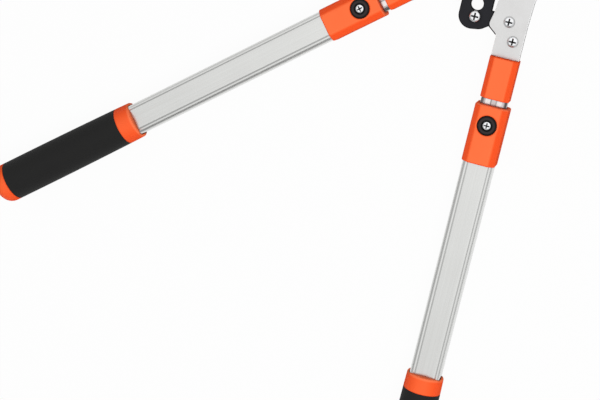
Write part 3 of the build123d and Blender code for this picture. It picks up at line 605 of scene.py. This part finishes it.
def black_plastic(name, colour, disc=None):
    """Black moulding, with painted shade darkening its rounded edges and its recesses.

    A disc is the name of a round node that gets painted shade on its rim and lip too."""
    material, tree, shader = new_material(name, Specular_IOR_Level=0.18)
    place = object_place(tree)
    cloud = use_group(tree, MOTTLE, Vector=place, Size=6 * MM, Contrast=0.9)["Mask"]
    face = mix_colour(tree, cloud, colour, BUTTON_PALE)
    edge = span(tree, use_group(tree, LEANING)["Lean"], *BUTTON_EDGE_SHADE)
    hollow_shade = use_group(tree, HOLLOW_SHADE_GROUP, Reach=1.5 * MM, Start=0.85)["Mask"]
    shade = larger(tree, edge, hollow_shade)
    if disc:
        shade = larger(tree, shade, shaded_rings_of(tree, place, disc))
    paint(tree, shader, mix_colour(tree, shade, face, PAINTED_SHADE_BLACK), between(tree, cloud, 0.45, 0.55))
    grain = use_group(tree, GRAIN, Vector=place, Size=0.4 * MM)["Height"]
    bump(tree, shader, grain, 0.02 * MM, 0.4)
    return material


def slot_finishes():
    """Finishes by material slot, for the nodes that have none of their own."""
    steel = satin_steel()
    zinc = plated_metal("zinc_plating", ZINC, ZINC_SHADE, rough=0.32, cloud_size=6 * MM,
                        grain_size=0.6 * MM, grain_depth=0.03 * MM, rubbed=0.6, shade_reach=1 * MM)
    chrome = plated_metal("bright_plating", CHROME, STEEL, rough=0.14, cloud_size=10 * MM,
                          grain_size=0.5 * MM, grain_depth=0.01 * MM, rubbed=0.2, shade_reach=3 * MM)
    return {
        "orange": orange_plastic("collar_orange", ORANGE, COLLAR_FULL_SHADE),
        "grip": grip_rubber(),
        "side_plate": steel,
        "anvil": steel,
        "hardware": zinc,
        "screw": chrome,
        "coated": coated_steel(),
        "packing": black_plastic("packing_nylon", NYLON),
    }


def node_finishes():
    """Finishes of the nodes that have their own."""
    finishes = {"blade": blade_steel()}
    cap_orange = orange_plastic("cap_orange", RING_ORANGE, RING_FULL_SHADE)
    for side in SIDES:
        collar = side + "_lower_collar"
        collar_lip_highlight = (side, collar, COLLAR_HIGHLIGHT_WIDTH)
        finishes[collar] = orange_plastic(side + "_collar_orange", ORANGE, COLLAR_FULL_SHADE, collar_lip_highlight)
        ring = side + "_grip_ring"
        ring_lip_highlight = (side, ring, RING_HIGHLIGHT_WIDTH)
        finishes[ring] = orange_plastic(side + "_ring_orange", RING_ORANGE, RING_FULL_SHADE, ring_lip_highlight)
        button = side + "_button_cap"
        finishes[button] = black_plastic(side + "_button_plastic", BUTTON, button)
        finishes[side + "_end_cap"] = cap_orange
        finishes[side + "_outer_tube"] = satin_tube(side + "_satin_tube", side)
        finishes[side + "_inner_tube"] = sliding_tube(side + "_sliding_tube", side)
    return finishes


def dress_nodes(by_slot, by_node):
    slots = {part["node"]: part["material_slot"] for part in frame["record"]["subparts"]}
    for name, node in NODES.items():
        node.data.materials.clear()
        node.data.materials.append(by_node.get(name) or by_slot[slots[name]])


# ---------------------------------------------------------------- added pieces
def finish_piece(shape, name, body, finish):
    """Make an object of a finished shape, and put it on its body."""
    bmesh.ops.recalc_face_normals(shape, faces=shape.faces)
    for face in shape.faces:
        face.smooth = True
    mesh = bpy.data.meshes.new(name)
    shape.to_mesh(mesh)
    shape.free()
    mesh.materials.append(finish)
    piece = bpy.data.objects.new(name, mesh)
    bpy.context.scene.collection.objects.link(piece)
    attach(piece, body)
    return piece


def button_spring(side, finish):
    """Coil under the lock button."""
    node = side + "_button_spring"
    low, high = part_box(node)
    middle = (low + high) / 2
    height = high.z - low.z
    radius = (high.x - low.x - SPRING_WIRE) / 2
    steps = SPRING_TURNS * STEPS_PER_TURN
    rise = (height - SPRING_WIRE) / steps
    shape = bmesh.new()
    start = (middle.x + radius, middle.y, low.z + SPRING_WIRE / 2)
    wire = Matrix.Translation(start) @ Matrix.Rotation(math.pi / 2, 4, "X")
    bmesh.ops.create_circle(shape, segments=WIRE_SIDES, radius=SPRING_WIRE / 2, matrix=wire)
    bmesh.ops.spin(shape, geom=shape.edges[:], cent=(middle.x, middle.y, 0), axis=(0, 0, 1),
                   dvec=(0, 0, rise), angle=math.tau * SPRING_TURNS, steps=steps,
                   use_merge=False, use_duplicate=False)
    bmesh.ops.holes_fill(shape, edges=[edge for edge in shape.edges if edge.is_boundary], sides=0)
    coil = finish_piece(shape, side + "_spring_coil", side + "_slider", finish)
    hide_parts(node)
    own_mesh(coil)


def parting_lines(side, collar, body, finish):
    """Fine mould ridges along both sides of a collar."""
    low, high = corners_of(side + collar, TO_HANDLE[side])
    middle = (low + high) / 2
    length = high.y - low.y - 2 * RIDGE_END
    shape = bmesh.new()
    for across in (low.x, high.x):
        place = Matrix.Translation((across, middle.y, middle.z)) @ Matrix.Rotation(math.pi / 4, 4, "Y")
        bmesh.ops.create_cube(shape, size=1.0, matrix=place @ Matrix.Diagonal((RIDGE, length, RIDGE, 1)))
    bmesh.ops.transform(shape, matrix=TO_TOOL[side], verts=shape.verts)
    finish_piece(shape, side + collar + "_parting_lines", body, finish)


def add_pieces(finishes):
    for side in SIDES:
        button_spring(side, finishes["hardware"])
        parting_lines(side, "_upper_collar", side, finishes["orange"])
        parting_lines(side, "_lower_collar", side + "_slider", finishes["orange"])


# ---------------------------------------------------------------- studio
def make_camera():
    lens = bpy.data.cameras.new("camera")
    lens.lens = CAMERA_LENS
    lens.sensor_width = SENSOR
    lens.clip_start = NEAREST
    lens.clip_end = FARTHEST
    camera = bpy.data.objects.new("camera", lens)
    bpy.context.scene.collection.objects.link(camera)
    back = (CAMERA_PLACE - CAMERA_AIM).normalized()
    right = CAMERA_UP.cross(back).normalized()
    up = back.cross(right)
    facing = Matrix((right, up, back)).transposed().to_4x4()
    camera.matrix_world = Matrix.Translation(CAMERA_PLACE) @ facing
    bpy.context.scene.camera = camera


def make_floor():
    """Pale floor that shows as white with a faint shadow, to the eye and in polished surfaces."""
    mesh = bpy.data.meshes.new("floor")
    shape = bmesh.new()
    bmesh.ops.create_grid(shape, x_segments=1, y_segments=1, size=FLOOR_SIZE / 2)
    shape.to_mesh(mesh)
    shape.free()
    floor = bpy.data.objects.new("floor", mesh)
    bpy.context.scene.collection.objects.link(floor)
    material = bpy.data.materials.new("pale_floor")
    material.use_nodes = True
    tree = material.node_tree
    tree.nodes.clear()
    paper = add_node(tree, "ShaderNodeBsdfDiffuse", {"Color": linear(FLOOR_COLOUR)})
    white = add_node(tree, "ShaderNodeEmission", {"Color": WHITE, "Strength": 1.0})
    rays = add_node(tree, "ShaderNodeLightPath").outputs
    plain = larger(tree, rays["Is Camera Ray"], rays["Is Glossy Ray"])
    share = part_of(tree, larger(tree, plain, rays["Is Transmission Ray"]), FLOOR_GLOW)
    both = add_node(tree, "ShaderNodeMixShader", {0: share, 1: paper.outputs[0], 2: white.outputs[0]})
    output = add_node(tree, "ShaderNodeOutputMaterial")
    tree.links.new(both.outputs[0], output.inputs["Surface"])
    mesh.materials.append(material)


def clear_of(tree, direction, thing):
    """1 where the studio is open, falling to the thing's shade where that stands."""
    turn, tilt = thing["turn"], thing["tilt"]
    way = (math.cos(tilt) * math.cos(turn), math.cos(tilt) * math.sin(turn), math.sin(tilt))
    gap = maths(tree, "ARCCOSINE", vector_maths(tree, "DOT_PRODUCT", direction, way)["Value"])
    return span(tree, gap, thing["core"], thing["edge"], thing["shade"], 1.0)


def studio_shine(tree, direction, height):
    """What polished surfaces see: brighter overhead and on one side, and two dark things."""
    bright_side = (math.cos(SHINE_TURN), math.sin(SHINE_TURN), 0)
    lean = vector_maths(tree, "DOT_PRODUCT", direction, bright_side)["Value"]
    above = larger(tree, height, 0.0)
    rise = part_of(tree, maths(tree, "POWER", above, 2.0), SHINE_RISE)
    side = part_of(tree, maths(tree, "MULTIPLY", lean, above), SHINE_SIDE)
    open_shine = maths(tree, "ADD", maths(tree, "ADD", rise, side), SHINE_LOW)
    shine = maths(tree, "MINIMUM", open_shine, SHINE_MOST)
    for thing in (STAND, SCREEN):
        shine = maths(tree, "MULTIPLY", shine, clear_of(tree, direction, thing))
    return shine


def white_light(tree, strength):
    return add_node(tree, "ShaderNodeBackground", {"Color": WHITE, "Strength": strength}).outputs[0]


def make_world():
    """Soft light from overhead, a studio for polished surfaces to see, and a white background."""
    world = bpy.data.worlds.new("studio")
    bpy.context.scene.world = world
    world.use_nodes = True
    tree = world.node_tree
    tree.nodes.clear()
    direction = add_node(tree, "ShaderNodeTexCoord").outputs["Generated"]
    height = axis_of(tree, direction, "Z")
    plain = white_light(tree, span(tree, height, 0.0, SKY_TOP, SKY_LOW, SKY_HIGH))
    mirrored = white_light(tree, studio_shine(tree, direction, height))
    rays = add_node(tree, "ShaderNodeLightPath").outputs
    lit = add_node(tree, "ShaderNodeMixShader", {0: rays["Is Glossy Ray"], 1: plain, 2: mirrored})
    seen = larger(tree, rays["Is Camera Ray"], rays["Is Transmission Ray"])
    shown = add_node(tree, "ShaderNodeMixShader",
                     {0: seen, 1: lit.outputs[0], 2: white_light(tree, 1.0)})
    output = add_node(tree, "ShaderNodeOutputWorld")
    tree.links.new(shown.outputs[0], output.inputs["Surface"])


def make_softbox():
    """Large soft lamp above and beside the tool, which polished surfaces don't see."""
    lamp = bpy.data.lights.new("key_softbox", "AREA")
    lamp.shape = "SQUARE"
    lamp.size = KEY_SIZE
    lamp.energy = KEY_WATTS
    softbox = bpy.data.objects.new("key_softbox", lamp)
    bpy.context.scene.collection.objects.link(softbox)
    aim = (CAD_BOX[0] + CAD_BOX[1]) / 2
    place = Vector((aim.x + KEY_ASIDE[0], aim.y + KEY_ASIDE[1], KEY_HEIGHT))
    softbox.location = place
    softbox.rotation_euler = (aim - place).to_track_quat("-Z", "Y").to_euler()
    softbox.visible_glossy = False


def make_studio():
    make_camera()
    make_floor()
    make_world()
    make_softbox()
    bpy.context.scene.view_settings.view_transform = "Standard"


make_studio()
SLOT_FINISHES = slot_finishes()
dress_nodes(SLOT_FINISHES, node_finishes())
add_pieces(SLOT_FINISHES)
